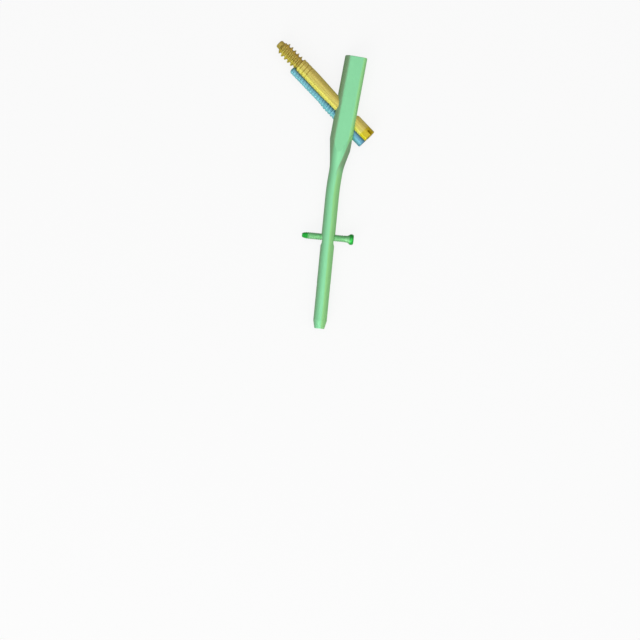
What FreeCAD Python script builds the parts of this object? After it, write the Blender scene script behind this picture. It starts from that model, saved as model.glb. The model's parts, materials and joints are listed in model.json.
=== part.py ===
"""Short hip nail with two interlocking neck screws, a set screw and a distal locking screw.

Millimetres. The origin is the centre of the nail's top face. +X points to the lateral side,
+Y up along the nail's proximal axis, and +Z to the front. Every screw is modelled along its
own X axis and is put in place by its body's Placement.
"""
import FreeCAD, Part
import Sketcher
import math
import os

SIZES = {
    "nail_length": (200.0, "along the bent axis, from the top face to the tip"),
    "head_lateral": (7.5, "nail axis to the flat lateral face of the head"),
    "head_medial": (8.75, "nail axis to the medial face of the head"),
    "head_depth_lateral": (15.8, "front to back of the head's outline at its lateral corners"),
    "head_depth_medial": (12.4, "front to back of the head's outline at its medial corners"),
    "head_corner": (2.5, "radius of the lateral corners"),
    "head_nose": (5.2, "radius of the medial corners"),
    "rim_chamfer": (0.3, "chamfer round the top face"),
    "shaft_radius": (5.0, "round shaft below the head"),
    "taper_top": (61.5, "depth at which the turned cone reaches the medial face"),
    "taper_length": (20.0, "length of the cone from there to the shaft"),
    "taper_blend": (40.0, "radius that blends the cone into the shaft"),
    "bend_start": (86.7, "depth at which the axis starts to bend"),
    "bend_angle": (5.0, "side bend of the shaft"),
    "bend_radius": (206.0, "radius of that bend"),
    "tip_length": (5.8, "length of the tapered tip"),
    "tip_radius": (3.65, "radius at the very end"),
    "cannula_radius": (2.35, "guide wire passage of the nail"),
    "driver_radius": (5.0, "threaded socket for the insertion handle"),
    "driver_depth": (12.0, "depth of that socket"),
    "key_width": (3.4, "keying notches in the top rim"),
    "key_depth": (3.5, "depth of those notches"),
    "neck_angle": (125.7, "between the neck screws and the nail's axis"),
    "neck_depth": (41.6, "depth at which the lag screw's axis crosses the nail's axis"),
    "screw_spacing": (6.25, "lag axis to compression axis"),
    "fit_gap": (0.06, "radial clearance of a sliding or turning fit"),
    "lag_radius": (5.5, "shaft and thread crest of the lag screw"),
    "lag_medial": (71.4, "nail axis to the lag screw's tip"),
    "lag_lateral": (23.7, "nail axis to the lag screw's lateral end"),
    "end_chamfer": (0.4, "chamfer at the lateral end of a neck screw and on the set screw"),
    "lag_bore": (1.65, "guide pin passage of the lag screw"),
    "nose_radius": (3.1, "blunt nose of the lag screw"),
    "nose_length": (2.9, "length of that nose"),
    "nose_edge": (0.6, "chamfer of its edge"),
    "lead_length": (2.2, "lead cone from the nose to the thread crest"),
    "bone_pitch": (3.17, "pitch of the lag screw's bone thread"),
    "bone_depth": (1.6, "depth of that thread"),
    "bone_groove": (2.8, "width of its groove at the crest"),
    "bone_root": (1.2, "width of its groove at the root"),
    "bone_length": (19.0, "length of the thread at full depth"),
    "runout_length": (9.5, "length of the fine run-out behind that thread"),
    "runout_groove": (0.8, "width of the run-out's groove"),
    "runout_depth": (0.35, "depth of the run-out's groove"),
    "flute_angle": (27.0, "cutting flute above the front"),
    "flute_width": (1.9, "width of a cutting flute"),
    "flute_length": (18.0, "length of a cutting flute"),
    "flat_depth": (1.2, "depth of the flat that the set screw bears on"),
    "flat_medial": (10.0, "level part of that flat, medial of the nail's axis"),
    "flat_lateral": (6.4, "level part of that flat, lateral of the nail's axis"),
    "flat_ramp": (26.0, "length of the ramp up to full diameter"),
    "flat_runout": (1.2, "steep run-out at the lateral end of the flat"),
    "drive_width": (1.8, "driver notches in the lag screw's end"),
    "drive_depth": (4.4, "depth of those notches"),
    "comp_radius": (3.5, "thread crest of the compression screw"),
    "comp_front_radius": (2.75, "thin front part of the compression screw"),
    "comp_shank_radius": (3.8, "smooth shank of the compression screw"),
    "comp_medial": (51.3, "nail crossing of the lag axis to the compression screw's tip"),
    "comp_tip_round": (2.0, "rounding of that tip"),
    "comp_taper_start": (20.4, "where the front part starts to widen, medial of the crossing"),
    "comp_taper_length": (5.8, "length of that taper"),
    "comp_shoulder": (9.0, "shoulder of the shank, lateral of the crossing"),
    "comp_pitch": (2.5, "pitch of the compression thread"),
    "comp_depth": (0.7, "depth of its groove"),
    "comp_groove": (1.6, "width of its groove at the crest"),
    "comp_thread_medial": (9.8, "medial end of the thread, from the crossing"),
    "comp_thread_lateral": (4.2, "lateral end of the thread, from the crossing"),
    "comp_socket": (3.5, "hexagon of the compression screw, across flats"),
    "socket_depth": (5.0, "depth of the neck screw's hexagon"),
    "channel_gap": (0.1, "clearance of the channel round the compression screw"),
    "channel_lead": (1.5, "how far the channel runs past the compression screw's tip"),
    "rack_medial": (3.0, "medial end of the rack of teeth, from the crossing"),
    "rack_lateral": (3.0, "lateral end of the rack of teeth, from the crossing"),
    "thread_play": (0.12, "play along the axis between rack and thread, on each flank"),
    "set_radius": (4.2, "set screw bore in the nail"),
    "set_length": (8.0, "length of the set screw above its cone"),
    "set_gap": (0.1, "gap between the set screw's cone and the flat"),
    "set_bore": (1.7, "guide wire passage of the set screw"),
    "set_socket": (5.0, "hexagon of the set screw, across flats"),
    "set_socket_depth": (4.0, "depth of that hexagon"),
    "lock_depth": (133.0, "depth of the distal screw, along the bent axis"),
    "lock_medial": (19.2, "nail axis to the distal screw's tip"),
    "lock_lateral": (18.7, "nail axis to the top of its head"),
    "lock_radius": (2.5, "thread crest of the distal screw"),
    "lock_tip": (4.7, "length of its bullet tip"),
    "lock_tip_radius": (1.1, "radius at its very end"),
    "lock_nose": (1.5, "length of the blunt end of that tip"),
    "lock_nose_radius": (2.0, "radius where the blunt end stops"),
    "lock_head_radius": (3.9, "head of the distal screw"),
    "lock_head_length": (2.5, "head above the cone"),
    "lock_head_round": (1.4, "rounding of its top"),
    "lock_cone": (2.0, "length of the cone under the head"),
    "lock_socket": (3.5, "hexagon of the distal screw, across flats"),
    "lock_socket_depth": (2.6, "depth of that hexagon"),
    "lock_flute_length": (5.2, "length of the cutting flute at its tip"),
    "lock_flute_width": (1.2, "width of that flute"),
    "lock_flute_floor": (0.7, "screw axis to the floor of that flute"),
    "slot_gap": (0.1, "clearance on each side of the distal screw in its slot"),
    "slot_travel": (3.6, "travel of the distal screw along the slot"),
    "slit_width": (1.4, "slit that splits the distal end"),
    "slit_length": (32.0, "length of that slit"),
    "slit_relief": (1.1, "radius of the hole at the end of the slit"),
    "cut_above": (0.3, "how far a groove's cutting outline rises above the crest"),
    "cut_past": (1.0, "how far a cut runs past the end of a piece"),
}

doc = FreeCAD.newDocument("hip_nail")
sheet = doc.addObject("Spreadsheet::Sheet", "sizes")
for row, (alias, (value, meaning)) in enumerate(SIZES.items(), 1):
    sheet.set("A%d" % row, meaning)
    sheet.set("B%d" % row, str(value))
    sheet.setAlias("B%d" % row, alias)
doc.recompute()

UP = FreeCAD.Vector(0, 0, 1)
BESIDE = FreeCAD.Vector(0, 1, 0)
ALONG = FreeCAD.Vector(1, 0, 0)


def value_of(formula):
    """A formula of the sheet's names, as a plain number."""
    found = sheet.evalExpression(formula)
    return float(getattr(found, "Value", found))


def named(formula):
    """The formula with every size written as the sheet's own cell."""
    words = []
    word = ""
    for letter in formula + " ":
        if letter.isalnum() or letter == "_":
            word += letter
            continue
        words.append("sizes." + word if word in SIZES else word)
        words.append(letter)
        word = ""
    return "".join(words).strip()


def bind(thing, prop, formula):
    """Tie a property to the sheet."""
    thing.setExpression(prop, named(formula))


def new_body(label, x="0", y="0", turn="0"):
    """A body placed at a point of the nail's plane and turned about Z."""
    body = doc.addObject("PartDesign::Body", label)
    body.Label = label
    body.Placement = FreeCAD.Placement(FreeCAD.Vector(), FreeCAD.Rotation(UP, 1))
    bind(body, "Placement.Base.x", x)
    bind(body, "Placement.Base.y", y)
    bind(body, "Placement.Rotation.Angle", turn)
    return body


def new_sketch(body, name, role="XY_Plane", base=("0", "0", "0"), axis=UP, turn="0"):
    """A sketch on one of the body's origin planes, moved and turned within it."""
    sketch = body.newObject("Sketcher::SketchObject", name)
    plane = next(f for f in body.Origin.OriginFeatures if f.Role == role)
    sketch.AttachmentSupport = (plane, [""])
    sketch.MapMode = "FlatFace"
    sketch.AttachmentOffset = FreeCAD.Placement(
        FreeCAD.Vector(), FreeCAD.Rotation(axis, 1)
    )
    for letter, formula in zip("xyz", base):
        bind(sketch, "AttachmentOffset.Base." + letter, formula)
    bind(sketch, "AttachmentOffset.Rotation.Angle", turn)
    return sketch


def constrain(sketch, kind, *where, formula=None):
    """Add one constraint, with its value tied to the sheet if it has one."""
    if formula is None:
        return sketch.addConstraint(Sketcher.Constraint(kind, *where))
    number = value_of(named(formula))
    index = sketch.addConstraint(Sketcher.Constraint(kind, *where, number))
    bind(sketch, "Constraints[%d]" % index, formula)
    return index


def outline(sketch, corners, closed=True):
    """Straight lines through corners (x, y) or (x, y, radius), each a formula of the sheet."""
    spots = [FreeCAD.Vector(value_of(named(c[0])), value_of(named(c[1])), 0) for c in corners]
    count = len(corners)
    ends = []
    for i, corner in enumerate(corners):
        if len(corner) == 2:
            ends.append((spots[i], spots[i], None))
            continue
        before = (spots[i - 1] - spots[i]).normalize()
        after = (spots[(i + 1) % count] - spots[i]).normalize()
        half = before.getAngle(after) / 2
        radius = value_of(named(corner[2]))
        reach = radius / math.tan(half)
        middle = spots[i] + (before + after).normalize() * (radius / math.sin(half))
        ends.append((spots[i] + before * reach, spots[i] + after * reach, middle))
    lines = []
    for i in range(count if closed else count - 1):
        segment = Part.LineSegment(ends[i][1], ends[(i + 1) % count][0])
        lines.append(sketch.addGeometry(segment, False))
    for i, corner in enumerate(corners):
        if not closed and i in (0, count - 1):
            line, end = (lines[0], 1) if i == 0 else (lines[-1], 2)
            constrain(sketch, "DistanceX", line, end, formula=corner[0])
            constrain(sketch, "DistanceY", line, end, formula=corner[1])
            continue
        into, out = lines[i - 1], lines[i % len(lines)]
        if ends[i][2] is None:
            constrain(sketch, "Coincident", into, 2, out, 1)
            constrain(sketch, "DistanceX", out, 1, formula=corner[0])
            constrain(sketch, "DistanceY", out, 1, formula=corner[1])
            continue
        round_corner(sketch, into, out, ends[i], spots[i], corner)
    doc.recompute()
    return sketch


def short_arc(sketch, middle, start, stop):
    """The shorter arc between two points, and which of its ends are the start and the stop."""
    from_start, from_stop = start - middle, stop - middle
    ring = Part.Circle(middle, UP, from_start.Length)
    angles = [math.atan2(ray.y, ray.x) for ray in (from_start, from_stop)]
    forward = from_start.cross(from_stop).z > 0
    begin, end = angles if forward else reversed(angles)
    if end < begin:
        end += 2 * math.pi
    arc = sketch.addGeometry(Part.ArcOfCircle(ring, begin, end), False)
    return (arc, 1, 2) if forward else (arc, 2, 1)


def round_corner(sketch, into, out, ends, spot, corner):
    """An arc tangent to two lines, whose sharp corner stays where the sheet says."""
    start, stop, middle = ends
    arc, first, last = short_arc(sketch, middle, start, stop)
    mark = sketch.addGeometry(Part.Point(spot), True)
    constrain(sketch, "DistanceX", mark, 1, formula=corner[0])
    constrain(sketch, "DistanceY", mark, 1, formula=corner[1])
    constrain(sketch, "PointOnObject", mark, 1, into)
    constrain(sketch, "PointOnObject", mark, 1, out)
    constrain(sketch, "Tangent", into, 2, arc, first)
    constrain(sketch, "Tangent", arc, last, out, 1)
    constrain(sketch, "Radius", arc, formula=corner[2])


def slot(sketch, first, last, half):
    """A slot with round ends along the sketch's X axis, between two centres."""
    near, far, radius = (value_of(named(f)) for f in (first, last, half))
    quarter = math.pi / 2
    centres = [FreeCAD.Vector(far, 0, 0), FreeCAD.Vector(near, 0, 0)]
    pieces = [
        Part.LineSegment(FreeCAD.Vector(near, -radius, 0), FreeCAD.Vector(far, -radius, 0)),
        Part.ArcOfCircle(Part.Circle(centres[0], UP, radius), -quarter, quarter),
        Part.LineSegment(FreeCAD.Vector(far, radius, 0), FreeCAD.Vector(near, radius, 0)),
        Part.ArcOfCircle(Part.Circle(centres[1], UP, radius), quarter, 3 * quarter),
    ]
    lower, end, upper, start = [sketch.addGeometry(piece, False) for piece in pieces]
    for into, out in ((lower, end), (end, upper), (upper, start), (start, lower)):
        constrain(sketch, "Tangent", into, 2, out, 1)
    for arc, place in ((end, last), (start, first)):
        constrain(sketch, "Radius", arc, formula=half)
        constrain(sketch, "DistanceX", arc, 3, formula=place)
        constrain(sketch, "DistanceY", arc, 3, formula="0")
    doc.recompute()
    return sketch


def circle(sketch, radius, x="0", y="0"):
    """A circle of the sheet's radius at a point."""
    spot = FreeCAD.Vector(value_of(named(x)), value_of(named(y)), 0)
    ring = sketch.addGeometry(Part.Circle(spot, UP, value_of(named(radius))), False)
    constrain(sketch, "Radius", ring, formula=radius)
    constrain(sketch, "DistanceX", ring, 3, formula=x)
    constrain(sketch, "DistanceY", ring, 3, formula=y)
    doc.recompute()
    return sketch


def hexagon(sketch, across):
    """A hexagon of the given width across its flats, round the sketch's origin."""
    half = "%s/2" % across
    side = "%s/2*tan(30)" % across
    point = "%s/2/cos(30)" % across
    return outline(
        sketch,
        [
            (half, "-" + side),
            (half, side),
            ("0", point),
            ("-" + half, side),
            ("-" + half, "-" + side),
            ("0", "-" + point),
        ],
    )


def feature(body, kind, name, sketch, **settings):
    """Add a feature of a profile, recompute it and make sure that it did something."""
    before = body.Tip.Shape.Volume if body.Tip and not body.Tip.Shape.isNull() else 0.0
    made = body.newObject("PartDesign::" + kind, name)
    made.Profile = sketch
    for prop, setting in settings.items():
        if isinstance(setting, str) and prop not in ("Mode", "Type", "SideType"):
            bind(made, prop, setting)
        else:
            setattr(made, prop, setting)
    doc.recompute()
    if made.Shape.isNull() or "Invalid" in made.State or "Error" in made.State:
        raise RuntimeError("%s of %s failed" % (name, body.Label))
    if abs(made.Shape.Volume - before) < 1e-3:
        raise RuntimeError("%s of %s changes nothing" % (name, body.Label))
    return made


def turned(body, name, corners, cut=False, **where):
    """A profile turned about its sketch's X axis, or Y axis where the sketch says so."""
    axis = where.pop("about", "H_Axis")
    sketch = outline(new_sketch(body, name + "_outline", **where), corners)
    kind = "Groove" if cut else "Revolution"
    return feature(body, kind, name, sketch, ReferenceAxis=(sketch, [axis]), Angle=360.0)


def cut_through(body, name, sketch, length):
    """Cut a profile away on both sides of its plane."""
    return feature(body, "Pocket", name, sketch, Length=length, Midplane=True)


def cut_up(body, name, sketch, length):
    """Cut a profile away from its plane along the plane's own normal."""
    return feature(body, "Pocket", name, sketch, Length=length, Reversed=True)


def around(body, name, original, count):
    """Repeat a feature evenly about the body's X axis."""
    axis = next(f for f in body.Origin.OriginFeatures if f.Role == "X_Axis")
    before = original.Shape.Volume
    pattern = body.newObject("PartDesign::PolarPattern", name)
    pattern.Originals = [original]
    pattern.Axis = (axis, [""])
    pattern.Angle = 360.0
    pattern.Occurrences = count
    body.Tip = pattern
    doc.recompute()
    if abs(pattern.Shape.Volume - before) < 1e-3:
        raise RuntimeError("%s of %s changes nothing" % (name, body.Label))
    return pattern


# Formulas that several pieces share.
TILT = "(neck_angle-90)"
TURN_DOWN = "-(neck_angle-90)"
COMP_X = "-screw_spacing*sin(%s)" % TILT
COMP_Y = "-neck_depth-screw_spacing*cos(%s)" % TILT
BEND_X = "bend_radius*(1-cos(bend_angle))"
BEND_Y = "-(bend_start+bend_radius*sin(bend_angle))"
ARC_LENGTH = "bend_radius*bend_angle*pi/180"
STRAIGHT = "(nail_length-bend_start-%s)" % ARC_LENGTH
LOCK_BELOW = "(lock_depth-bend_start-%s)" % ARC_LENGTH
OUTSIDE = "(head_medial+head_lateral)"


def make_nail():
    """The nail: a milled head, a turned taper, a bent shaft and every bore and slot in them."""
    body = new_body("nail_body")
    section = outline(
        new_sketch(body, "head_section", role="XZ_Plane"),
        [
            ("head_lateral", "head_depth_lateral/2", "head_corner"),
            ("-head_medial", "head_depth_medial/2", "head_nose"),
            ("-head_medial", "-head_depth_medial/2", "head_nose"),
            ("head_lateral", "-head_depth_lateral/2", "head_corner"),
        ],
    )
    head = feature(body, "Pad", "head", section, Length="bend_start")
    break_top_edge(body, head)
    slope = "(head_medial-shaft_radius)/taper_length"
    turned(
        body,
        "taper",
        [
            (OUTSIDE, "-(taper_top-(%s-head_medial)/(%s))" % (OUTSIDE, slope)),
            ("shaft_radius", "-(taper_top+taper_length)", "taper_blend"),
            ("shaft_radius", "-bend_start"),
            (OUTSIDE, "-bend_start"),
        ],
        cut=True,
        about="V_Axis",
    )
    shaft_and_cannula(body)
    proximal_bores(body)
    neck_bores(body)
    distal_slots(body)
    return body


def break_top_edge(body, head):
    """Chamfer the head's outline at the top face."""
    edges = []
    for number, edge in enumerate(head.Shape.Edges, 1):
        if edge.BoundBox.YMin > -1e-6:
            edges.append("Edge%d" % number)
    chamfer = body.newObject("PartDesign::Chamfer", "top_edge")
    chamfer.Base = (head, edges)
    bind(chamfer, "Size", "rim_chamfer")
    doc.recompute()
    return chamfer


def shaft_and_cannula(body):
    """The shaft along the bent axis, its tapered tip and the guide wire passage through all."""
    tip_start = "(%s-tip_length)" % STRAIGHT
    bend = axis_path(new_sketch(body, "bend_path"), "-bend_start", tip_start)
    ring = circle(
        new_sketch(body, "shaft_ring", role="XZ_Plane", base=("0", "0", "bend_start")),
        "shaft_radius",
    )
    feature(body, "AdditivePipe", "shaft", ring, Spine=(bend, ["Edge1", "Edge2"]))
    turned(
        body,
        "tip",
        [
            ("0", "-" + tip_start),
            ("shaft_radius", "-" + tip_start),
            ("tip_radius", "-" + STRAIGHT),
            ("0", "-" + STRAIGHT),
        ],
        about="V_Axis",
        base=(BEND_X, BEND_Y, "0"),
        turn="bend_angle",
    )
    whole = axis_path(new_sketch(body, "wire_path"), "cut_past", "(%s+cut_past)" % STRAIGHT)
    hole = circle(
        new_sketch(body, "wire_ring", role="XZ_Plane", base=("0", "0", "-cut_past")),
        "cannula_radius",
    )
    path = ["Edge1", "Edge2", "Edge3"]
    feature(body, "SubtractivePipe", "cannula", hole, Spine=(whole, path))


def axis_path(sketch, start, reach):
    """The nail's axis from a height down: a straight, the bend and a straight of a given reach."""
    sine, cosine = "sin(bend_angle)", "cos(bend_angle)"
    centre = FreeCAD.Vector(value_of(named("bend_radius")), value_of(named("-bend_start")), 0)
    first = FreeCAD.Vector(0, centre.y, 0)
    bend = math.radians(value_of(named("bend_angle")))
    swing = FreeCAD.Vector(-math.cos(bend), -math.sin(bend), 0) * centre.x
    second = centre + swing
    last = second + FreeCAD.Vector(math.sin(bend), -math.cos(bend), 0) * value_of(named(reach))
    top = value_of(named(start))
    if top > centre.y:
        head = Part.LineSegment(FreeCAD.Vector(0, top, 0), first)
        head = sketch.addGeometry(head, False)
    arc, upper, lower = short_arc(sketch, centre, first, second)
    tail = sketch.addGeometry(Part.LineSegment(second, last), False)
    if top > centre.y:
        constrain(sketch, "DistanceX", head, 1, formula="0")
        constrain(sketch, "DistanceY", head, 1, formula=start)
        constrain(sketch, "Coincident", head, 2, arc, upper)
    constrain(sketch, "DistanceX", arc, upper, formula="0")
    constrain(sketch, "DistanceY", arc, upper, formula="-bend_start")
    constrain(sketch, "DistanceX", arc, 3, formula="bend_radius")
    constrain(sketch, "DistanceY", arc, 3, formula="-bend_start")
    constrain(sketch, "DistanceX", arc, lower, formula=BEND_X)
    constrain(sketch, "Coincident", arc, lower, tail, 1)
    end_x = "%s+%s*%s" % (BEND_X, reach, sine)
    end_y = "%s-%s*%s" % (BEND_Y, reach, cosine)
    constrain(sketch, "DistanceX", tail, 2, formula=end_x)
    constrain(sketch, "DistanceY", tail, 2, formula=end_y)
    doc.recompute()
    return sketch


def proximal_bores(body):
    """The driver socket, the set screw's bore and the key notches of the top rim."""
    turned(
        body,
        "driver_bore",
        [
            ("0", "cut_past"),
            ("driver_radius", "cut_past"),
            ("driver_radius", "-driver_depth"),
            ("set_radius", "-driver_depth-(driver_radius-set_radius)"),
            ("set_radius", "-neck_depth"),
            ("0", "-neck_depth"),
        ],
        cut=True,
        about="V_Axis",
    )
    keys = outline(
        new_sketch(body, "key_outline", role="XZ_Plane"),
        [
            (OUTSIDE, "-key_width/2"),
            (OUTSIDE, "key_width/2"),
            ("-" + OUTSIDE, "key_width/2"),
            ("-" + OUTSIDE, "-key_width/2"),
        ],
    )
    cut_up(body, "key_notches", keys, "key_depth")


def neck_bores(body):
    """The two overlapping bores for the neck screws, the lower one with a seat for a shoulder."""
    turned(
        body,
        "lag_bore",
        [
            ("-2*" + OUTSIDE, "0"),
            ("-2*" + OUTSIDE, "lag_radius+fit_gap"),
            ("2*" + OUTSIDE, "lag_radius+fit_gap"),
            ("2*" + OUTSIDE, "0"),
        ],
        cut=True,
        base=("0", "-neck_depth", "0"),
        turn=TURN_DOWN,
    )
    turned(
        body,
        "compression_bore",
        [
            ("-2*" + OUTSIDE, "0"),
            ("-2*" + OUTSIDE, "comp_radius+fit_gap"),
            ("comp_shoulder-fit_gap", "comp_radius+fit_gap"),
            ("comp_shoulder-fit_gap", "comp_shank_radius+fit_gap"),
            ("2*" + OUTSIDE, "comp_shank_radius+fit_gap"),
            ("2*" + OUTSIDE, "0"),
        ],
        cut=True,
        base=(COMP_X, COMP_Y, "0"),
        turn=TURN_DOWN,
    )


def distal_slots(body):
    """The slot for the distal screw and the slit that splits the end, both from side to side."""
    across = {"role": "YZ_Plane", "base": (BEND_Y, "0", BEND_X), "axis": BESIDE}
    hole = slot(
        new_sketch(body, "slot_outline", turn="bend_angle", **across),
        "-%s-slot_travel" % LOCK_BELOW,
        "-%s" % LOCK_BELOW,
        "lock_radius+slot_gap",
    )
    cut_through(body, "lock_slot", hole, "4*shaft_radius")
    end = "(-%s-cut_past)" % STRAIGHT
    inner = "(-%s+slit_length)" % STRAIGHT
    slit = outline(
        new_sketch(body, "slit_outline", turn="bend_angle", **across),
        [
            (end, "-slit_width/2"),
            (inner, "-slit_width/2"),
            (inner, "slit_width/2"),
            (end, "slit_width/2"),
        ],
    )
    cut_through(body, "end_slit", slit, "4*shaft_radius")
    relief = circle(
        new_sketch(body, "relief_outline", turn="bend_angle", **across), "slit_relief", x=inner
    )
    cut_through(body, "slit_relief_hole", relief, "4*shaft_radius")


def make_lag():
    """The lag screw: a cannulated shaft with a bone thread, flutes, a flat and a toothed channel."""
    body = new_body("lag_screw", y="-neck_depth", turn=TURN_DOWN)
    lead = "(-lag_medial+nose_length)"
    turned(
        body,
        "shaft",
        [
            ("-lag_medial", "lag_bore"),
            ("-lag_medial", "nose_radius-nose_edge"),
            ("-lag_medial+nose_edge", "nose_radius"),
            (lead, "nose_radius"),
            (lead + "+lead_length", "lag_radius"),
            ("lag_lateral-end_chamfer", "lag_radius"),
            ("lag_lateral", "lag_radius-end_chamfer"),
            ("lag_lateral", "lag_bore"),
        ],
    )
    compression_channel(body)
    bone_thread(body, lead)
    cutting_flutes(body)
    set_screw_flat(body)
    drive_notches(body)
    return body


def bone_thread(body, lead):
    """A groove with steep flanks wound round the front of the lag screw, and its fine run-out."""
    root = "(lag_radius-bone_depth)"
    slope = "((bone_groove-bone_root)/2/bone_depth)"
    wide = "(bone_groove/2+%s*cut_above)" % slope
    start = "(%s-bone_pitch/2)" % lead
    groove = outline(
        new_sketch(body, "bone_groove_outline"),
        [
            (start + "-bone_root/2", root),
            (start + "+bone_root/2", root),
            ("%s+%s" % (start, wide), "lag_radius+cut_above"),
            ("%s-%s" % (start, wide), "lag_radius+cut_above"),
        ],
    )
    helix(body, "bone_thread", groove, "bone_pitch", "bone_length+bone_pitch/2")
    after = "(%s+bone_pitch*floor(bone_length/bone_pitch+1/2))" % start
    fine = v_groove(body, "runout_outline", after, "lag_radius", "runout_groove", "runout_depth")
    helix(body, "bone_thread_runout", fine, "bone_pitch", "runout_length+bone_pitch")


def v_groove(body, name, middle, crest, width, depth):
    """The outline of a V groove, carried on a little above the crest."""
    wide = "(%s/2+%s/2/%s*cut_above)" % (width, width, depth)
    return outline(
        new_sketch(body, name),
        [
            (middle, "%s-%s" % (crest, depth)),
            ("%s+%s" % (middle, wide), crest + "+cut_above"),
            ("%s-%s" % (middle, wide), crest + "+cut_above"),
        ],
    )


def helix(body, name, sketch, pitch, height):
    """Wind a groove along its sketch's X axis."""
    return feature(
        body,
        "SubtractiveHelix",
        name,
        sketch,
        ReferenceAxis=(sketch, ["H_Axis"]),
        Mode="pitch-height-angle",
        Pitch=pitch,
        Height=height,
        Angle=0.0,
    )


def cutting_flutes(body):
    """Two flutes through the bone thread, on opposite sides."""
    sketch = slot(
        new_sketch(
            body,
            "flute_outline",
            base=(
                "0",
                "-sin(-flute_angle)*(lag_radius-bone_depth)",
                "cos(flute_angle)*(lag_radius-bone_depth)",
            ),
            axis=ALONG,
            turn="-flute_angle",
        ),
        "-lag_medial",
        "-lag_medial+nose_length+flute_length-flute_width/2",
        "flute_width/2",
    )
    flute = cut_up(body, "flute", sketch, "2*bone_depth")
    around(body, "flutes", flute, 2)


def set_screw_flat(body):
    """The flat on the upper side, with its long ramp towards the thread."""
    floor = "(lag_radius-flat_depth)"
    sketch = outline(
        new_sketch(body, "flat_outline"),
        [
            ("-flat_medial-flat_ramp", "lag_radius"),
            ("-flat_medial", floor),
            ("flat_lateral", floor),
            ("flat_lateral+flat_runout", "lag_radius"),
            ("flat_lateral+flat_runout", "2*lag_radius"),
            ("-flat_medial-flat_ramp", "2*lag_radius"),
        ],
    )
    cut_through(body, "set_screw_flat", sketch, "4*lag_radius")


def drive_notches(body):
    """Two open notches in the lateral end for the screwdriver's prongs."""
    sketch = slot(
        new_sketch(body, "notch_outline", axis=ALONG, turn="-flute_angle"),
        "lag_lateral-drive_depth+drive_width/2",
        "lag_lateral+drive_width",
        "drive_width/2",
    )
    cut_through(body, "drive_notches", sketch, "4*lag_radius")


def compression_channel(body):
    """The channel in the lower side that carries the compression screw, and its rack of teeth."""
    beside = {"base": ("0", "-screw_spacing", "0")}
    front = "(comp_front_radius+channel_gap)"
    wide = "(comp_radius+channel_gap)"
    shank = "(comp_shank_radius+channel_gap)"
    core = "(comp_radius-comp_depth+channel_gap+comp_depth/3)"
    start = "(-comp_medial-channel_lead)"
    turned(
        body,
        "channel",
        [
            (start + "-" + front, "0"),
            (start, front),
            ("-comp_taper_start-channel_gap", front),
            ("-comp_taper_start+comp_taper_length-channel_gap", wide),
            ("-rack_medial", wide),
            ("-rack_medial", core),
            ("rack_lateral", core),
            ("rack_lateral", wide),
            ("comp_shoulder-2*channel_gap", wide),
            ("comp_shoulder-2*channel_gap", shank),
            ("lag_lateral+cut_past", shank),
            ("lag_lateral+cut_past", "0"),
        ],
        cut=True,
        **beside,
    )
    slope = "(comp_groove/2/comp_depth)"
    inner = "(%s-channel_gap)" % core
    spread = "(comp_pitch/2-comp_groove/2-channel_gap*%s+thread_play)" % slope
    deep = "(%s+(%s-%s)*%s)" % (spread, wide, inner, slope)
    ridge_at = "(comp_pitch/2-comp_thread_medial)"
    turns = "floor((comp_thread_medial-rack_medial)/comp_pitch)"
    first = "(%s+comp_pitch*(%s-1))" % (ridge_at, turns)
    ridge = outline(
        new_sketch(body, "rack_groove_outline", **beside),
        [
            ("%s-%s" % (first, deep), inner),
            ("%s+%s" % (first, deep), inner),
            ("%s+%s" % (first, spread), wide),
            ("%s-%s" % (first, spread), wide),
        ],
    )
    helix(body, "rack_teeth", ridge, "comp_pitch", "rack_medial+rack_lateral+comp_pitch*2")


def make_compression():
    """The compression screw: a thin front part, a threaded part and a smooth shank."""
    body = new_body("compression_screw", COMP_X, COMP_Y, TURN_DOWN)
    shoulder = "comp_tip_round*(1-cos(45))"
    turned(
        body,
        "screw",
        [
            ("-comp_medial", "0"),
            ("-comp_medial", "comp_front_radius-comp_tip_round"),
            ("-comp_medial+" + shoulder, "comp_front_radius-" + shoulder),
            ("-comp_medial+comp_tip_round", "comp_front_radius"),
            ("-comp_taper_start", "comp_front_radius"),
            ("-comp_taper_start+comp_taper_length", "comp_radius"),
            ("comp_shoulder", "comp_radius"),
            ("comp_shoulder", "comp_shank_radius"),
            ("lag_lateral-end_chamfer", "comp_shank_radius"),
            ("lag_lateral", "comp_shank_radius-end_chamfer"),
            ("lag_lateral", "0"),
        ],
    )
    start = "(-comp_thread_medial)"
    groove = v_groove(body, "thread_outline", start, "comp_radius", "comp_groove", "comp_depth")
    helix(body, "thread", groove, "comp_pitch", "comp_thread_medial+comp_thread_lateral")
    socket = hexagon(
        new_sketch(body, "socket_outline", role="YZ_Plane", base=("0", "0", "lag_lateral")),
        "comp_socket",
    )
    feature(body, "Pocket", "socket", socket, Length="socket_depth")
    return body


def make_set_screw():
    """The set screw: a cannulated plug with a cone that bears on the lag screw's flat."""
    reach = "(lag_radius-flat_depth+set_gap)/cos(%s)" % TILT
    body = new_body("set_screw", y="-neck_depth+" + reach, turn="90")
    outer = "(set_radius-fit_gap)"
    base = "(%s*tan(%s))" % (outer, TILT)
    turned(
        body,
        "plug",
        [
            ("set_bore*tan(%s)" % TILT, "set_bore"),
            (base, outer),
            (base + "+set_length-end_chamfer", outer),
            (base + "+set_length", outer + "-end_chamfer"),
            (base + "+set_length", "set_bore"),
        ],
    )
    socket = hexagon(
        new_sketch(body, "hex_outline", role="YZ_Plane", base=("0", "0", base + "+set_length")),
        "set_socket",
    )
    feature(body, "Pocket", "hex_socket", socket, Length="set_socket_depth")
    return body


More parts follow.
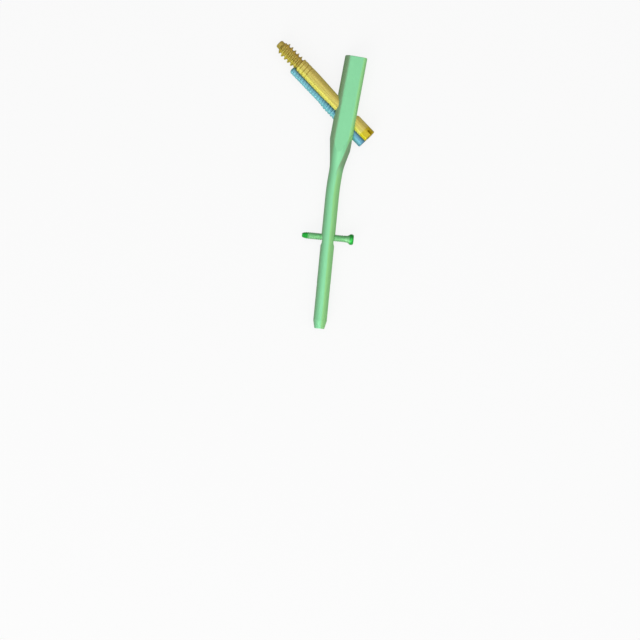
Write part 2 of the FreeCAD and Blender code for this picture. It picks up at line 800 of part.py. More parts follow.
def make_lock_screw():
    """The distal locking screw: a bullet tip, a shank and a domed head with a cone under it."""
    lock_x = "%s+%s*sin(bend_angle)" % (BEND_X, LOCK_BELOW)
    lock_y = "%s-%s*cos(bend_angle)" % (BEND_Y, LOCK_BELOW)
    body = new_body("distal_screw", lock_x, lock_y, "bend_angle")
    under = "(lock_lateral-lock_head_length)"
    shoulder = "lock_head_round*(1-cos(45))"
    turned(
        body,
        "screw",
        [
            ("-lock_medial", "0"),
            ("-lock_medial", "lock_tip_radius"),
            ("-lock_medial+lock_nose", "lock_nose_radius"),
            ("-lock_medial+lock_tip", "lock_radius"),
            (under + "-lock_cone", "lock_radius"),
            (under, "lock_head_radius"),
            ("lock_lateral-lock_head_round", "lock_head_radius"),
            ("lock_lateral-" + shoulder, "lock_head_radius-" + shoulder),
            ("lock_lateral", "lock_head_radius-lock_head_round"),
            ("lock_lateral", "0"),
        ],
    )
    flute = outline(
        new_sketch(
            body, "flute_outline", base=("0", "0", "lock_flute_floor"), axis=ALONG, turn="0"
        ),
        [
            ("-lock_medial-cut_past", "0"),
            ("-lock_medial-cut_past", "-lock_flute_width"),
            ("-lock_medial+lock_flute_length", "-lock_flute_width"),
            ("-lock_medial+lock_flute_length", "0"),
        ],
    )
    cut_up(body, "flute", flute, "2*lock_radius")
    socket = hexagon(
        new_sketch(body, "socket_outline", role="YZ_Plane", base=("0", "0", "lock_lateral")),
        "lock_socket",
    )
    feature(body, "Pocket", "socket", socket, Length="lock_socket_depth")
    return body


def main():
    """Build every piece, test it and write it out."""
    bodies = [make_nail(), make_lag(), make_compression(), make_set_screw(), make_lock_screw()]
    doc.recompute()
    for thing in doc.Objects:
        if "Invalid" in thing.State or "Error" in thing.State:
            raise RuntimeError("%s failed" % thing.Label)
    for body in bodies:
        shape = body.Shape
        if shape.isNull() or not shape.isValid() or len(shape.Solids) != 1:
            raise RuntimeError("%s isn't one valid solid" % body.Label)
    os.makedirs("parts", exist_ok=True)
    for body in bodies:
        body.Shape.exportStep(os.path.join("parts", body.Label + ".step"))
        print(body.Label, round(body.Shape.Volume, 1), len(body.Shape.Faces))


main()
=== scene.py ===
"""Looks of a short hip nail with neck screws: coloured anodised titanium on a white table.

Lengths are millimetres in the tables of sizes and metres in the meshes. Each screw is worked
out along its own axis: `along` runs to the lateral side, and the angle starts at the upper side.
"""
import json
import math

import bpy
import numpy as np
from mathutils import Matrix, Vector

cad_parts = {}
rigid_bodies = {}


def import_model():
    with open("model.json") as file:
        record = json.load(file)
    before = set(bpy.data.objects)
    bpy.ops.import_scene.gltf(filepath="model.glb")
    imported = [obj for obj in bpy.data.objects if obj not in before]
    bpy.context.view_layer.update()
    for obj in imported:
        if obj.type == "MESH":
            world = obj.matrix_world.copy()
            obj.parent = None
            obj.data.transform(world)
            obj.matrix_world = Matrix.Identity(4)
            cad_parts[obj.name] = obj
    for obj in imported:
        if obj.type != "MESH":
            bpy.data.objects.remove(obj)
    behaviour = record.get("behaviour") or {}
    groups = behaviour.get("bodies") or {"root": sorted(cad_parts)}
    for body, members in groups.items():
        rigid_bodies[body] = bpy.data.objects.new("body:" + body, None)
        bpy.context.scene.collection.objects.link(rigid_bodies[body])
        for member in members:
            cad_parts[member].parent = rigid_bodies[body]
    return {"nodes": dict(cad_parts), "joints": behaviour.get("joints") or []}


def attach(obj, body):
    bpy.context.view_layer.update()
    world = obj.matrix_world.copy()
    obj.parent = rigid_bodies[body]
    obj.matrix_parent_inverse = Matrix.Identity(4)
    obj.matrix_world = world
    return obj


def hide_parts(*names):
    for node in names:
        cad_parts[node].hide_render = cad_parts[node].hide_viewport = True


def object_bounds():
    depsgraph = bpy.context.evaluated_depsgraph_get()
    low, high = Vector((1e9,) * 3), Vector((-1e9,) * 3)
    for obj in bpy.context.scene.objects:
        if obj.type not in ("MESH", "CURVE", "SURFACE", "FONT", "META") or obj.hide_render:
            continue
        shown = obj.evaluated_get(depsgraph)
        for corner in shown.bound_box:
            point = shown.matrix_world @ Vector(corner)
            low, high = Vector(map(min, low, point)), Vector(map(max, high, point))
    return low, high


MM = 0.001
TURN = 2 * math.pi

for leftover in list(bpy.data.objects):
    bpy.data.objects.remove(leftover)
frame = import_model()
cad_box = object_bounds()
joints = {joint["name"]: joint for joint in frame["joints"]}

# Where the photograph was taken from: straight above, with the nail's upper axis leaning.
PHOTO_SIZE = 640
MM_PER_PIXEL = 0.7315
NAIL_TOP_PIXEL = (357.06, 58.0)
AXIS_LEAN = math.radians(10.57)
LENS = 85.0
SENSOR = 36.0

# Sizes of the nail that the screws and threads are placed by.
NECK_DEPTH = 41.6
TAPER_TOP = 61.5
BEND_START = 86.7
BEND_RADIUS = 206.0
BEND = math.radians(5.0)
LOCK_DEPTH = 133.0

# The ridge of the handle's thread in the nail's socket.
RIDGE = {
    "wall": 5.0, "pitch": 1.25, "top": 1.6, "turns": 6.0, "fade": 0.5,
    "half_width": 0.425, "height": 0.45, "sunk": 0.05,
}

# The compression screw, from its tip to its lateral end.
COMP = {
    "tip": -51.3, "end": 23.7, "tip_round": 2.0,
    "front": 2.75, "thick": 3.5, "shank": 3.8,
    "taper": -20.4, "taper_length": 5.8, "shoulder": 9.0,
    "pitch": 2.5, "groove_at": -9.8, "groove": 1.6, "depth": 0.7, "front_depth": 0.24,
    "thread_start": -49.6, "thread_end": 5.2, "chamfer": 0.4, "socket": 3.5, "socket_depth": 5.0,
    "thread_fade": 1.2, "around": 96, "step": 0.12,
    "tone_reach": 2.6, "tone_shift": 1.1, "deep_end": 9.5,
}
# The distal locking screw.
LOCK = {
    "tip": -19.2, "end": 18.7, "radius": 2.5, "tip_radius": 1.1, "tip_length": 4.7,
    "head": 3.9, "head_length": 2.5, "cone": 2.0, "edge": 1.4,
    "pitch": 1.4, "depth": 0.42, "crest": 0.28, "thread_start": -18.2, "thread_end": 13.4,
    "flute_length": 5.2, "flute_at": TURN * 0.30, "flute_half": 0.5, "flute_share": 0.5,
    "flute_fade": 1.0, "thread_fade": 2.0, "bullet": 0.6, "socket": 3.5, "socket_depth": 2.6,
    "around": 84, "step": 0.07, "tone_reach": 2.4, "deep_tip": 14.2, "deep_head": 15.0,
}
# The set screw, from the tip of its cone to its top.
PLUG = {
    "radius": 4.14, "bore": 1.7, "length": 8.0, "flat": 4.3, "gap": 0.1,
    "chamfer": 0.4, "socket": 5.0, "socket_depth": 4.0, "pitch": 1.0, "depth": 0.3,
    "groove": 0.9, "thread_from": 0.3, "thread_fade": 0.6, "around": 84, "step": 0.08,
}
# The lag screw's shades: its crest radius, how far under the crest a root takes painted shade and
# where that ends, how far its thread, tones, painted channel shade and deep end reach, and how they
# fade.
LAG = {
    "crest": 5.5, "root": 0.3, "root_edge": 0.05, "root_share": 0.7,
    "thread_reach": 37.0, "thread_fade": 0.5,
    "channel_edge": 4.9, "channel_fade": 0.35, "channel_from": 14.0, "channel_full": 13.0,
    "streak_from": 0.42, "streak_full": 0.62, "streak_share": 0.5,
    "tone_reach": 4.4, "tone_shift": 2.0, "deep_end": 17.0,
}

# The nail's medial tone of painted shade and lateral tone of painted light, by millimetres from its
# bent
# axis: where each is full and where it is gone on the shaft, and how much further out that lies on
# the head.
MEDIAL_FULL, MEDIAL_GONE, MEDIAL_SHIFT = -6.0, -2.0, 2.2
LATERAL_GONE, LATERAL_FULL, LATERAL_SHIFT = 0.4, 1.6, 4.0
# The taper's lateral flank, painted with the medial tone as shade, lies where that distance plus
# slope times depth passes a sum.
FLANK_SLOPE, FLANK_START, FLANK_EDGE = 0.245, 20.8, 0.7
FLANK_END, FLANK_FADE = 78.0, 12.0
# Three tones of each oxide's colour, lit and shaded, from one side of a piece to the other, as they
# are
# seen on a screen: painted light and painted shade across the piece.
PAINTED_LIGHT_TONES = {
    "nail": ((140, 180, 134), (146, 228, 171), (156, 226, 146)),
    "lag": ((236, 214, 112), (210, 198, 96), (252, 246, 112)),
    "compression": ((92, 138, 150), (115, 183, 201), (140, 220, 226)),
    "plug": ((90, 180, 110), (96, 196, 124), (104, 204, 124)),
    "lock": ((108, 182, 118), (132, 210, 142), (148, 220, 154)),
}
# Tints that are laid over those tones.
LAG_END = (0.88, 0.82, 0.06, 1.0)
COMP_END = (0.74, 0.78, 0.90, 1.0)
LOCK_END = (0.10, 0.80, 0.22, 1.0)
STREAK = (0.74, 0.66, 0.50, 1.0)
# The next two tints are painted shade, darkening the lag screw's thread roots and its channel.
PAINTED_ROOT_SHADE = (0.62, 0.52, 0.36, 1.0)
PAINTED_CHANNEL_SHADE = (0.14, 0.18, 0.10, 1.0)
# How softly a deep end starts, and a distance past the end of every screw.
END_BLEND = 1.5
NEVER = 90.0
# Tool marks to the metre along a piece and across it, where they run round it or along it.
ROUND = (1300.0, 60.0, 60.0)
LENGTHWISE = (40.0, 1100.0, 1100.0)
MARK_STRENGTH, MARK_DEPTH, MARK_GLOSS = 0.05, 0.00005, 0.12
CLOUD_SCALE, CLOUD_GLOSS = 90.0, 0.08
END_GLOSS = 0.12
METALLIC = 0.35

# Each softbox: its place from the middle of the part, its width and its power.
LAMPS = {
    "overhead": ((0.20, -0.30, 1.70), 2.2, 16.5),
    "front": ((-0.30, -1.10, 0.75), 0.9, 6.3),
    "lateral": ((1.10, -0.30, 0.70), 0.8, 1.2),
}
# The table: half its width, its gap under the part, and its greys for plain and mirrored rays. The
# darker grey in mirrored rays paints darker reflections on the pieces.
TABLE_HALF, TABLE_GAP = 4.0, 0.00002
TABLE_GREY, TABLE_MIRRORED = (0.80, 0.80, 0.80, 1.0), (0.42, 0.42, 0.42, 1.0)
# How far the camera sees the table as plain white, then the sky's light at its foot and the rise
# to its top.
TABLE_GLOW = 0.85
SKY_LOW, SKY_RISE = 0.16, 0.42


def unit(vector):
    """A direction of length one."""
    vector = np.asarray(vector, float)
    return vector / np.linalg.norm(vector)


def make_mesh(name, points, faces):
    """A smooth mesh object with crisp edges where faces meet at an angle."""
    mesh = bpy.data.meshes.new(name)
    mesh.from_pydata(points.tolist(), [], faces)
    mesh.polygons.foreach_set("use_smooth", np.ones(len(mesh.polygons), bool))
    mesh.set_sharp_from_angle(angle=math.radians(40))
    mesh.update()
    piece = bpy.data.objects.new(name, mesh)
    bpy.context.scene.collection.objects.link(piece)
    return piece


def wrapped_faces(rings, round_count, joined):
    """Quads between rings of points, round each ring, and from the last ring to the first."""
    ring = np.arange(rings if joined else rings - 1)[:, None]
    spot = np.arange(round_count)[None, :]
    after = (spot + 1) % round_count
    above = (ring + 1) % rings
    corners = [ring * round_count + spot, ring * round_count + after,
               above * round_count + after, above * round_count + spot]
    return np.stack([c + 0 * ring for c in corners], -1).reshape(-1, 4).tolist()


def turned_piece(name, along, radius, place, axis, upper, joined=False):
    """A turned skin: the point at angle a of ring i lies `along[i]` down the axis and
    `radius[i, a]` out from it. A joined skin runs through a bore back to its first ring; any
    other is closed by a point on the axis at each end."""
    count = radius.shape[1]
    angle = np.arange(count) * TURN / count
    axis, upper = unit(axis), unit(upper)
    front = np.cross(axis, upper)
    along = np.broadcast_to(along, radius.shape)
    out = np.cos(angle)[None, :, None] * upper + np.sin(angle)[None, :, None] * front
    points = along[..., None] * axis + radius[..., None] * out
    points = points.reshape(-1, 3)
    faces = wrapped_faces(len(radius), count, joined)
    if not joined:
        last = (len(radius) - 1) * count
        spots = np.arange(count)
        after = (spots + 1) % count
        ends = np.array([along[0, 0] * axis, along[-1, 0] * axis])
        first_end = len(points)
        points = np.concatenate([points, ends])
        faces += np.stack([after, spots, spots * 0 + first_end], -1).tolist()
        faces += np.stack([last + spots, last + after, spots * 0 + first_end + 1], -1).tolist()
    points = np.asarray(place) + points * MM
    return make_mesh(name, points, faces)


def hexagon(angle, across):
    """How far a hexagon's side lies from its centre: half its width over the cosine of the
    angle from the middle of that side."""
    sector = TURN / 6
    return across / 2 / np.cos((angle + sector / 2) % sector - sector / 2)


def groove_share(along, angle, pitch, start, width):
    """How deep a right-hand groove is at a point, from 0 at its edge to 1 at its root: a cosine
    of the distance from the groove's middle, which moves by one pitch a turn."""
    offset = (along - start - pitch * angle / TURN + pitch / 2) % pitch - pitch / 2
    return 0.5 - 0.5 * np.cos(math.pi * np.clip(1 - np.abs(offset) / (width / 2), 0, 1))


def fade(along, start, end, run):
    """1 between two places on the axis, and down to 0 over a run at each end."""
    return np.clip((along - start) / run, 0, 1) * np.clip((end - along) / run, 0, 1)


def between(start, end, step):
    """Evenly spaced stations from one place to another, both included."""
    return np.linspace(start, end, max(2, round(abs(end - start) / step) + 1))


def compression_screw():
    """Thin threaded front, thicker threaded part, smooth shank and hexagon socket."""
    size, count = COMP, COMP["around"]
    angle = np.arange(count)[None, :] * TURN / count
    bow = np.linspace(0, math.pi / 2, 9)[1:]
    nose = size["tip"] + size["tip_round"] * (1 - np.cos(bow))
    edge = [size["end"] - size["chamfer"], size["end"]]
    body = np.concatenate([between(nose[-1] + 0.1, size["thread_end"] + 1, size["step"]),
                           [size["shoulder"], size["shoulder"] + 1e-3], edge])
    widen = np.clip((body - size["taper"]) / size["taper_length"], 0, 1)
    crest = size["front"] + (size["thick"] - size["front"]) * widen
    crest[body > size["shoulder"]] = size["shank"]
    crest[-1] = size["shank"] - size["chamfer"]
    depth = size["front_depth"] + (size["depth"] - size["front_depth"]) * widen
    depth = depth * fade(body, size["thread_start"], size["thread_end"], size["thread_fade"])
    share = groove_share(body[:, None], angle, size["pitch"], size["groove_at"], size["groove"])
    outer = crest[:, None] - depth[:, None] * share
    start = size["front"] - size["tip_round"] + size["tip_round"] * np.sin(bow)
    side = hexagon(angle, size["socket"])
    floor = size["end"] - size["socket_depth"]
    along = np.concatenate([[size["tip"]], nose, body, [size["end"], floor]])
    flat = np.full(count, size["front"] - size["tip_round"])
    radius = np.concatenate([flat[None], start[:, None] + 0 * angle, outer, side, side])
    joint = joints["compression_spin"]
    lateral = -unit(joint["axis"])
    piece = turned_piece("compression_screw_threaded", along[:, None], radius,
                         joint["pos_m"], lateral, (-lateral[1], lateral[0], 0))
    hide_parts("compression_screw")
    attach(piece, "compression")
    return piece


def lock_place():
    """Where the distal screw crosses the nail's bent axis."""
    below = LOCK_DEPTH - BEND_START - BEND_RADIUS * BEND
    return np.array([
        BEND_RADIUS * (1 - math.cos(BEND)) + below * math.sin(BEND),
        -BEND_START - BEND_RADIUS * math.sin(BEND) - below * math.cos(BEND),
        0,
    ]) * MM


def lock_screw():
    """Bullet tip with a cutting flute, thread, domed head and hexagon socket."""
    size, count = LOCK, LOCK["around"]
    angle = np.arange(count)[None, :] * TURN / count
    under = size["end"] - size["head_length"]
    body = between(size["tip"] + 0.05, size["thread_end"], size["step"])
    bullet = np.clip((body - size["tip"]) / size["tip_length"], 0, 1)
    swell = np.sin(bullet * math.pi / 2) ** size["bullet"]
    crest = size["tip_radius"] + (size["radius"] - size["tip_radius"]) * swell
    run = fade(body, size["thread_start"], size["thread_end"], size["thread_fade"])
    depth = size["depth"] * run
    share = groove_share(body[:, None], angle, size["pitch"], 0, size["pitch"] - size["crest"])
    outer = crest[:, None] - depth[:, None] * share
    flute_end = size["tip"] + size["flute_length"]
    cutter = fade(body, size["tip"] - 2, flute_end, size["flute_fade"])[:, None]
    notch = np.clip(1 - np.abs(angle - size["flute_at"]) / size["flute_half"], 0, 1)
    outer = outer * (1 - size["flute_share"] * cutter * np.sqrt(notch))
    bow = np.linspace(0, math.pi / 2, 7)
    rounded = size["head"] - size["edge"] + size["edge"] * np.cos(bow)
    edge_along = size["end"] - size["edge"] + size["edge"] * np.sin(bow)
    side = hexagon(angle, size["socket"])
    floor = size["end"] - size["socket_depth"]
    along = np.concatenate([[size["tip"]], body, [under - size["cone"], under], edge_along,
                            [size["end"], floor]])
    ring = np.ones((1, count))
    radius = np.concatenate([size["tip_radius"] * 0.6 * ring, outer, size["radius"] * ring,
                             size["head"] * ring, rounded[:, None] * ring, side, side])
    down = unit(joints["distal_slide"]["axis"])
    piece = turned_piece("distal_screw_threaded", along[:, None], radius,
                         lock_place(), (-down[1], down[0], 0), -down)
    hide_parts("distal_screw")
    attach(piece, "distal")
    return piece


def set_screw():
    """A threaded plug with a cone below, a hexagon above and a passage through both."""
    size, count = PLUG, PLUG["around"]
    angle = np.arange(count)[None, :] * TURN / count
    lag_axis = joints["lag_slide"]["axis"]
    slope = abs(lag_axis[1] / lag_axis[0])
    foot = (size["flat"] + size["gap"]) / abs(lag_axis[0])
    base = size["radius"] * slope
    top = base + size["length"]
    body = between(base, top - size["chamfer"], size["step"])
    share = groove_share(body[:, None], angle, size["pitch"], 0, size["groove"])
    start = base + size["thread_from"]
    depth = size["depth"] * fade(body, start, top - size["chamfer"], size["thread_fade"])
    outer = size["radius"] - depth[:, None] * share
    side = hexagon(angle, size["socket"])
    floor = top - size["socket_depth"]
    ring = np.ones((1, count))
    along = np.concatenate([[size["bore"] * slope], body, [top, top, floor, floor]])
    radius = np.concatenate([size["bore"] * ring, outer, (size["radius"] - size["chamfer"]) * ring,
                             side, side, size["bore"] * ring])
    piece = turned_piece("set_screw_threaded", along[:, None], radius,
                         np.array([0, -NECK_DEPTH + foot, 0]) * MM, (0, 1, 0), (-1, 0, 0), True)
    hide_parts("set_screw")
    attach(piece, "set")
    return piece


def socket_thread():
    """The handle thread in the nail's top: a three-cornered ridge carried along a helix of one
    pitch a turn, on the wall of the socket."""
    size, per_turn = RIDGE, 72
    steps = np.arange(int(size["turns"] * per_turn) + 1)
    angle = steps * TURN / per_turn
    depth = size["top"] + steps * size["pitch"] / per_turn
    swell = fade(steps / per_turn, 0, size["turns"], size["fade"])
    half, sunk = size["half_width"], size["sunk"]
    ridge = np.array([[half, sunk], [0, -size["height"]], [-half, sunk]])
    rise = ridge[None, :, 0] * swell[:, None]
    out = size["wall"] + ridge[None, :, 1] * swell[:, None]
    points = np.stack([out * np.cos(angle)[:, None], -depth[:, None] + rise,
                       -out * np.sin(angle)[:, None]], -1)
    points = points.reshape(-1, 3)
    faces = wrapped_faces(len(steps), 3, False)
    last = len(points) - 3
    faces += [[2, 1, 0], [last, last + 1, last + 2]]
    piece = make_mesh("handle_thread", points * MM, [face[::-1] for face in faces])
    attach(piece, "nail")
    return piece


class Wire:
    """A shader socket that can stand in sums, so that shader maths reads as plain maths."""

    def __init__(self, nodes, socket):
        self.nodes, self.socket = nodes, socket

    def maths(self, operation, first, second):
        """One Math node on two values or wires."""
        return self.nodes.add("ShaderNodeMath", {"operation": operation}, {0: first, 1: second})

    def __add__(self, other):
        return self.maths("ADD", self, other)

    def __sub__(self, other):
        return self.maths("SUBTRACT", self, other)

    def __rsub__(self, other):
        return self.maths("SUBTRACT", other, self)

    def __mul__(self, other):
        return self.maths("MULTIPLY", self, other)

    def at_most(self, other):
        """The smaller of two values."""
        return self.maths("MINIMUM", self, other)

    def at_least(self, other):
        """The larger of two values."""
        return self.maths("MAXIMUM", self, other)

    def other(self, output):
        """Another output of the same node."""
        return Wire(self.nodes, self.socket.node.outputs[output])

    __radd__ = __add__


class Nodes:
    """The nodes of one material or of the surround."""

    def __init__(self, owner):
        owner.use_nodes = True
        self.tree = owner.node_tree
        self.tree.nodes.clear()

    def add(self, kind, settings=None, inputs=None, output=0):
        """A node with its settings, then the values or wires of its sockets."""
        node = self.tree.nodes.new(kind)
        for prop, setting in (settings or {}).items():
            setattr(node, prop, setting)
        for key, given in (inputs or {}).items():
            if isinstance(given, Wire):
                self.tree.links.new(given.socket, node.inputs[key])
            else:
                node.inputs[key].default_value = given
        return Wire(self, node.outputs[output])

    def mixed(self, share, first, second, blend="MIX"):
        """One colour turning into another, or into its blend with another."""
        settings = {"data_type": "RGBA", "blend_type": blend}
        return self.add("ShaderNodeMix", settings, {0: share, 6: first, 7: second}, output=2)

    def eased(self, value, start, end):
        """0 before a start and 1 past an end, with a soft change between them."""
        limits = {"Value": value, "From Min": start, "From Max": end}
        return self.add("ShaderNodeMapRange", {"interpolation_type": "SMOOTHSTEP"}, limits)

    def end(self, shader, kind="ShaderNodeOutputMaterial"):
        """Send a shader to the output."""
        output = self.tree.nodes.new(kind)
        self.tree.links.new(shader.socket, output.inputs[0])


def linear(red, green, blue):
    """A colour as it is seen on a screen, 0 to 255, as light."""
    parts = [part / 255 for part in (red, green, blue)]
    parts = [((p + 0.055) / 1.055) ** 2.4 if p > 0.04045 else p / 12.92 for p in parts]
    return (*parts, 1.0)


def nail_sides(nodes, spot, drift):
    """How far the nail's medial tone of painted shade and lateral tone of painted light cover a
    spot. They go by its millimetres from the nail's bent axis, which leaves the straight by the
    square of the run into the bend over twice the radius, then by the bend's slope. The lateral
    tone widens from head to shaft.
    The lateral flank of the taper, past a slanting line, has the medial tone of painted shade."""
    parts = nodes.add("ShaderNodeSeparateXYZ", None, {0: spot})
    depth = parts.other("Y") * (-1 / MM)
    run = (depth - BEND_START).at_least(0)
    slope = math.tan(BEND)
    inside = run.at_most(BEND_RADIUS * slope)
    axis = inside * inside * (0.5 / BEND_RADIUS) + (run - inside) * slope
    place = parts * (1 / MM) - axis + drift
    narrow = 1 - nodes.eased(depth, TAPER_TOP, BEND_START)
    # The taper's lateral flank gets painted shade: the medial tone.
    beyond = nodes.eased(place + depth * FLANK_SLOPE, FLANK_START, FLANK_START + FLANK_EDGE)
    flank = beyond * nodes.eased(depth, TAPER_TOP - 1, TAPER_TOP)
    flank = flank * (1 - nodes.eased(depth, FLANK_END, FLANK_END + FLANK_FADE))
    low = 1 - nodes.eased(place, MEDIAL_FULL, MEDIAL_GONE - narrow * MEDIAL_SHIFT)
    out = narrow * LATERAL_SHIFT
    high = nodes.eased(place, LATERAL_GONE + out, LATERAL_FULL + out)
    return low.at_least(flank), high * (1 - flank)


def screw_sides(place, direction, reach, shift=0.0):
    """A method for how far a screw's two side tones, painted light and painted shade, cover a spot.
    They go by its millimetres from the screw's axis, along a direction across it. A shift moves
    them that way."""
    direction = unit(direction)
    start = float(np.dot(direction, place)) / MM + shift

    def sides(nodes, spot, drift):
        """The share of the first tone and of the last."""
        scaled = {0: spot, 1: tuple(direction / MM)}
        across = nodes.add("ShaderNodeVectorMath", {"operation": "DOT_PRODUCT"}, scaled, "Value")
        across = across - start + drift
        return (1 - nodes.eased(across, -reach, -reach * 0.2),
                nodes.eased(across, -reach * 0.1, reach * 0.3))

    return sides


def lag_shades(nodes, own, fine, shade, middle, height):
    """The lag screw's shade with streaks along its tool marks, and painted shade in its thread
    roots and in its channel. `own` is the place once the screw is turned level, and its axis then
    lies at a height, with its middle at a distance on X."""
    reach = middle - LAG["thread_reach"]
    crest, edge = LAG["crest"], LAG["channel_edge"]
    level = nodes.add("ShaderNodeVectorMath", None, {0: own, 1: (0, -height * MM, 0)})
    flat = nodes.add("ShaderNodeVectorMath", {"operation": "MULTIPLY"},
                     {0: level, 1: (0, 1 / MM, 1 / MM)})
    radius = nodes.add("ShaderNodeVectorMath", {"operation": "LENGTH"}, {0: flat}, "Value")
    along = nodes.add("ShaderNodeSeparateXYZ", None, {0: own}) * (1 / MM)
    past = nodes.eased(along, reach, reach + LAG["thread_fade"])
    root = 1 - nodes.eased(radius, crest - LAG["root"], crest - LAG["root_edge"])
    root = root * (1 - past)
    below = nodes.add("ShaderNodeSeparateXYZ", None, {0: flat}).other("Y") * -1
    channel = nodes.eased(below, edge - LAG["channel_fade"], edge)
    channel = channel * nodes.eased(along, reach - LAG["channel_from"], reach - LAG["channel_full"])
    streak = nodes.eased(fine, LAG["streak_from"], LAG["streak_full"]) * LAG["streak_share"]
    shade = nodes.mixed(streak, shade, STREAK, "MULTIPLY")
    # Painted shade in the thread roots and in the channel.
    shade = nodes.mixed(root * LAG["root_share"], shade, PAINTED_ROOT_SHADE, "MULTIPLY")
    return nodes.mixed(channel, shade, PAINTED_CHANNEL_SHADE, "MULTIPLY")


def anodised(name, sides, lean, roughness, marks, ends=None, lag=None):
    """Coloured oxide on titanium. Its colour passes through three tones across the piece, which are
    painted light and painted shade, drifts a little over centimetres and follows fine tool marks
    that run round or along the piece, whose axis leans by `lean` from X. A screw's ends may be
    deeper in colour: `ends` holds the tint, the middle of the screw on X once it is turned level,
    and how far from there the tint starts on each side. `lag` holds that middle and the height of
    the level axis, for the lag screw's streaks and its painted shade in thread roots and channel."""
    material = bpy.data.materials.new(name + "_oxide")
    nodes = Nodes(material)
    medial_tone, middle_tone, lateral_tone = [linear(*tone) for tone in PAINTED_LIGHT_TONES[name]]
    spot = nodes.add("ShaderNodeTexCoord", output="Object")
    own = nodes.add("ShaderNodeMapping", None, {0: spot, 2: (0, 0, -lean)})
    lines = nodes.add("ShaderNodeMapping", None, {0: own, 3: marks})
    cloud = nodes.add("ShaderNodeTexNoise", None,
                      {"Vector": own, "Scale": CLOUD_SCALE, "Detail": 3.0})
    fine = nodes.add("ShaderNodeTexNoise", None, {"Vector": lines, "Scale": 1.0, "Detail": 2.0})
    low, high = sides(nodes, spot, cloud - 0.5)
    shade = nodes.mixed(high, nodes.mixed(low, middle_tone, medial_tone), lateral_tone)
    gloss = roughness + (fine - 0.5) * MARK_GLOSS + (cloud - 0.5) * CLOUD_GLOSS
    if lag:
        shade = lag_shades(nodes, own, fine, shade, *lag)
    if ends:
        tint, centre, medial, lateral = ends
        level = nodes.add("ShaderNodeSeparateXYZ", None, {0: own}) * (1 / MM) - centre
        deep = nodes.eased(level, lateral, lateral + END_BLEND)
        deep = deep.at_least(nodes.eased(level * -1, medial, medial + END_BLEND))
        shade = nodes.mixed(deep, shade, tint, "MULTIPLY")
        gloss = gloss - deep * END_GLOSS
    bump = nodes.add("ShaderNodeBump", None,
                     {"Strength": MARK_STRENGTH, "Distance": MARK_DEPTH, "Height": fine})
    nodes.end(nodes.add("ShaderNodeBsdfPrincipled", None, {
        "Base Color": shade,
        "Metallic": METALLIC,
        "Roughness": gloss,
        "Normal": bump,
    }))
    return material


def wear(piece, material):
    """Give a piece its one material."""
    piece.data.materials.clear()
    piece.data.materials.append(material)


def materials(pieces):
    """Every piece's finish, with the three tones of painted light and shade from one side of the
    piece to the other.
    """
    medial = unit(joints["lag_slide"]["axis"])
    neck = math.atan2(-medial[1], -medial[0])
    lower = np.array([-medial[1], medial[0], 0])
    down = unit(joints["distal_slide"]["axis"])
    crossing = np.array([0, -NECK_DEPTH, 0]) * MM
    on_lag = screw_sides(crossing, lower, LAG["tone_reach"], LAG["tone_shift"])
    on_compression = screw_sides(joints["compression_spin"]["pos_m"], lower,
                                 COMP["tone_reach"], COMP["tone_shift"])
    on_lock = screw_sides(lock_place(), down, LOCK["tone_reach"])
    lag_middle = float(-np.dot(medial, crossing) / MM)
    lag_height = float(-np.dot(lower, crossing) / MM)
    lock_middle = float(np.dot((math.cos(BEND), math.sin(BEND), 0), lock_place()) / MM)
    upright = math.radians(90)
    green = anodised("nail", nail_sides, upright, 0.55, LENGTHWISE)
    gold = anodised("lag", on_lag, neck, 0.42, LENGTHWISE,
                    (LAG_END, lag_middle, NEVER, LAG["deep_end"]), (lag_middle, lag_height))
    blue = anodised("compression", on_compression, neck, 0.50, ROUND,
                    (COMP_END, lag_middle, NEVER, COMP["deep_end"]))
    plug = anodised("plug", nail_sides, upright, 0.40, ROUND)
    deep = anodised("lock", on_lock, BEND, 0.40, ROUND,
                    (LOCK_END, lock_middle, LOCK["deep_tip"], LOCK["deep_head"]))
    wear(frame["nodes"]["nail_body"], green)
    wear(frame["nodes"]["lag_screw"], gold)
    for piece, material in zip(pieces, (blue, deep, plug, green)):
        wear(piece, material)


def light(name, place, size, power, target):
    """A square softbox that faces a point."""
    lamp = bpy.data.lights.new(name, "AREA")
    lamp.size, lamp.energy = size, power
    box = bpy.data.objects.new(name, lamp)
    bpy.context.scene.collection.objects.link(box)
    box.location = place
    aim = unit(np.asarray(target) - np.asarray(place))
    box.rotation_euler = Vector(aim).to_track_quat("-Z", "Y").to_euler()


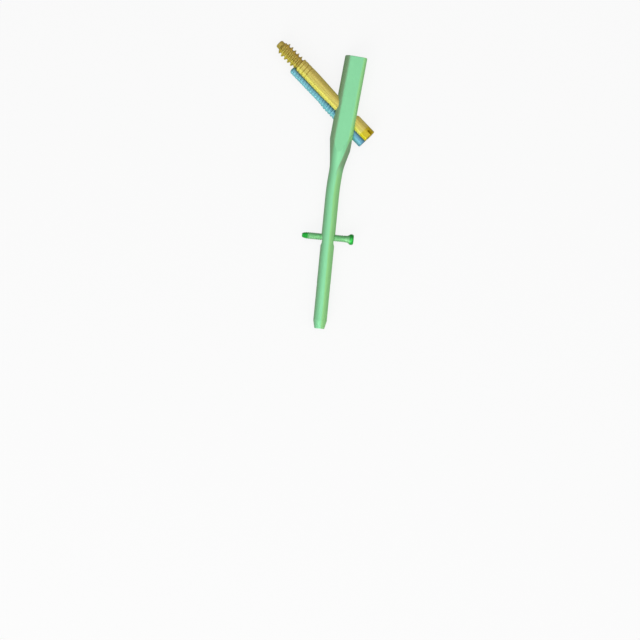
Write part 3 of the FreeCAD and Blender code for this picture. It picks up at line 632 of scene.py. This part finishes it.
def studio(centre):
    """A white table, a pale surround and the softboxes."""
    x, y = centre
    half = TABLE_HALF
    corners = np.array([[-half, -half, 0], [half, -half, 0], [half, half, 0], [-half, half, 0]])
    corners = corners + np.array([x, y, cad_box[0].z - TABLE_GAP])
    table = make_mesh("table", corners, [[0, 1, 2, 3]])
    material = bpy.data.materials.new("table_white")
    white = Nodes(material)
    seen = white.add("ShaderNodeLightPath", output="Is Camera Ray")
    # Mirrored rays see a darker grey: a painted darker reflection on the pieces' sides.
    mirrored = white.add("ShaderNodeLightPath", output="Is Glossy Ray")
    grey = white.mixed(mirrored, TABLE_GREY, TABLE_MIRRORED)
    matt = white.add("ShaderNodeBsdfDiffuse", None, {"Color": grey})
    glow = white.add("ShaderNodeEmission", None, {"Color": (1, 1, 1, 1)})
    white.end(white.add("ShaderNodeMixShader", None, {0: seen * TABLE_GLOW, 1: matt, 2: glow}))
    table.data.materials.append(material)
    world = bpy.data.worlds.new("surround")
    bpy.context.scene.world = world
    air = Nodes(world)
    seen = air.add("ShaderNodeLightPath", output="Is Camera Ray")
    facing = air.add("ShaderNodeTexCoord", output="Generated")
    height = air.add("ShaderNodeSeparateXYZ", None, {0: facing}).other("Z")
    strength = (SKY_LOW + height.at_least(0) * SKY_RISE).at_least(seen)
    sky = air.add("ShaderNodeBackground", None, {"Strength": strength})
    air.end(sky, "ShaderNodeOutputWorld")
    for name, (offset, size, power) in LAMPS.items():
        light(name, (x + offset[0], y + offset[1], offset[2]), size, power, (x, y, 0))


def camera():
    """Straight above, at the photograph's scale and turned as the photograph is."""
    middle = PHOTO_SIZE / 2
    right, down = middle - NAIL_TOP_PIXEL[0], middle - NAIL_TOP_PIXEL[1]
    lateral = (right * math.cos(AXIS_LEAN) + down * math.sin(AXIS_LEAN)) * MM_PER_PIXEL * MM
    below = (-right * math.sin(AXIS_LEAN) + down * math.cos(AXIS_LEAN)) * MM_PER_PIXEL * MM
    lens = bpy.data.cameras.new("camera")
    lens.lens, lens.sensor_width = LENS, SENSOR
    seer = bpy.data.objects.new("camera", lens)
    bpy.context.scene.collection.objects.link(seer)
    seer.location = (lateral, -below, PHOTO_SIZE * MM_PER_PIXEL * MM * LENS / SENSOR)
    seer.rotation_euler = (0, 0, AXIS_LEAN)
    bpy.context.scene.camera = seer


made = (compression_screw(), lock_screw(), set_screw(), socket_thread())
materials(made)
middle_of_part = ((cad_box[0] + cad_box[1]) / 2)[:2]
studio(middle_of_part)
camera()
bpy.context.scene.view_settings.view_transform = "Standard"
